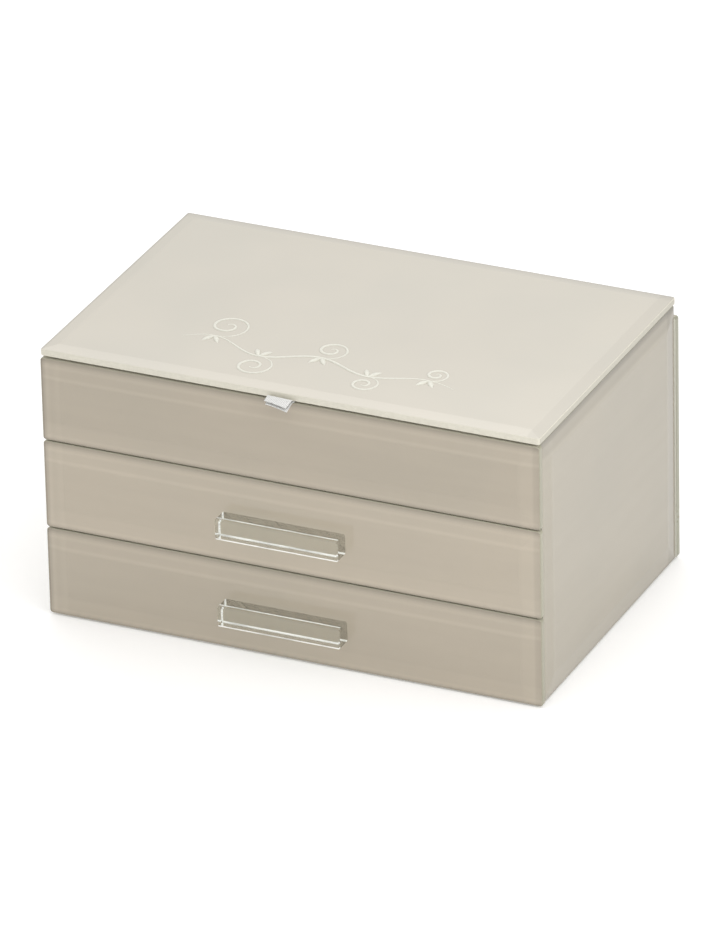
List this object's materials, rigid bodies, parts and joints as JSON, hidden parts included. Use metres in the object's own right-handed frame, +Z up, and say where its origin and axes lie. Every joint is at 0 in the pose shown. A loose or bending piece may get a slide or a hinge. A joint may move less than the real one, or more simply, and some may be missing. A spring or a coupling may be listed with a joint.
{
  "type": "jewellery chest with drawers",
  "caption": "Glass-clad jewellery box with a hinged mirrored lid over a lined tray with ring rolls, and sliding drawers with clear bar handles below.",
  "frame": {"origin": "centre of the case's footprint, on the surface that the felt underside rests on", "axes": "+X to the right as seen from the front, along the width; +Y to the back; +Z up"},
  "size_m": [0.278, 0.1943, 0.1535],
  "materials": {
    "lid_glass": "polished bevelled glass, painted cream on its back",
    "side_glass": "polished bevelled glass, painted cream-grey on its back",
    "front_glass": "polished bevelled glass, painted taupe on its back",
    "clear_glass": "clear polished bar with chamfered edges",
    "fibreboard": "medium-density fibreboard, lacquered taupe to match the glass",
    "velvet": "short-pile velvet over board and foam",
    "base_felt": "dark pressed felt",
    "ribbon": "white ribbed ribbon",
    "mirror": "silvered glass",
    "hinge_metal": "nickel-plated steel"
  },
  "bodies": {
    "case": {"base_felt": "base_felt", "case_bottom": "fibreboard", "case_side_left": "fibreboard", "case_side_right": "fibreboard", "case_back": "fibreboard", "case_front_rail": "fibreboard", "drawer_shelf": "fibreboard", "tray_floor": "fibreboard", "pane_side_left": "side_glass", "pane_side_right": "side_glass", "pane_back": "side_glass", "pane_front_upper": "front_glass", "tray_lining": "velvet", "tray_divider_long": "velvet", "tray_divider_cross": "velvet", "ring_roll_1": "velvet", "ring_roll_2": "velvet", "ring_roll_3": "velvet", "ring_roll_4": "velvet", "ring_roll_5": "velvet", "hinge_left_case_leaf": "hinge_metal", "hinge_right_case_leaf": "hinge_metal", "hinge_left_pin": "hinge_metal", "hinge_right_pin": "hinge_metal", "hinge_left_case_screw_1": "hinge_metal", "hinge_left_case_screw_2": "hinge_metal", "hinge_right_case_screw_1": "hinge_metal", "hinge_right_case_screw_2": "hinge_metal"},
    "lid": {"lid_pane": "lid_glass", "lid_board": "fibreboard", "lid_lining": "velvet", "lid_mirror": "mirror", "pull_tab": "ribbon", "hinge_left_lid_leaf": "hinge_metal", "hinge_right_lid_leaf": "hinge_metal", "hinge_left_lid_screw_1": "hinge_metal", "hinge_left_lid_screw_2": "hinge_metal", "hinge_right_lid_screw_1": "hinge_metal", "hinge_right_lid_screw_2": "hinge_metal"},
    "drawer_upper": {"upper_pane": "front_glass", "upper_handle": "clear_glass", "upper_front_board": "velvet", "upper_side_left": "velvet", "upper_side_right": "velvet", "upper_back": "velvet", "upper_bottom": "velvet", "upper_lining": "velvet", "upper_divider_long": "velvet", "upper_divider_cross": "velvet"},
    "drawer_lower": {"lower_pane": "front_glass", "lower_handle": "clear_glass", "lower_front_board": "velvet", "lower_side_left": "velvet", "lower_side_right": "velvet", "lower_back": "velvet", "lower_bottom": "velvet", "lower_lining": "velvet", "lower_divider_cross": "velvet"}
  },
  "joints": [
    {"name": "lid_hinge", "type": "hinge", "parent": "case", "child": "lid", "pos_m": [0, 0.0897, 0.1429], "axis": [-1, 0, 0], "range_deg": [0, 100]},
    {"name": "upper_drawer_slide", "type": "slide", "parent": "case", "child": "drawer_upper", "axis": [0, -1, 0], "range_m": [0, 0.125]},
    {"name": "lower_drawer_slide", "type": "slide", "parent": "case", "child": "drawer_lower", "axis": [0, -1, 0], "range_m": [0, 0.125]}
  ]
}
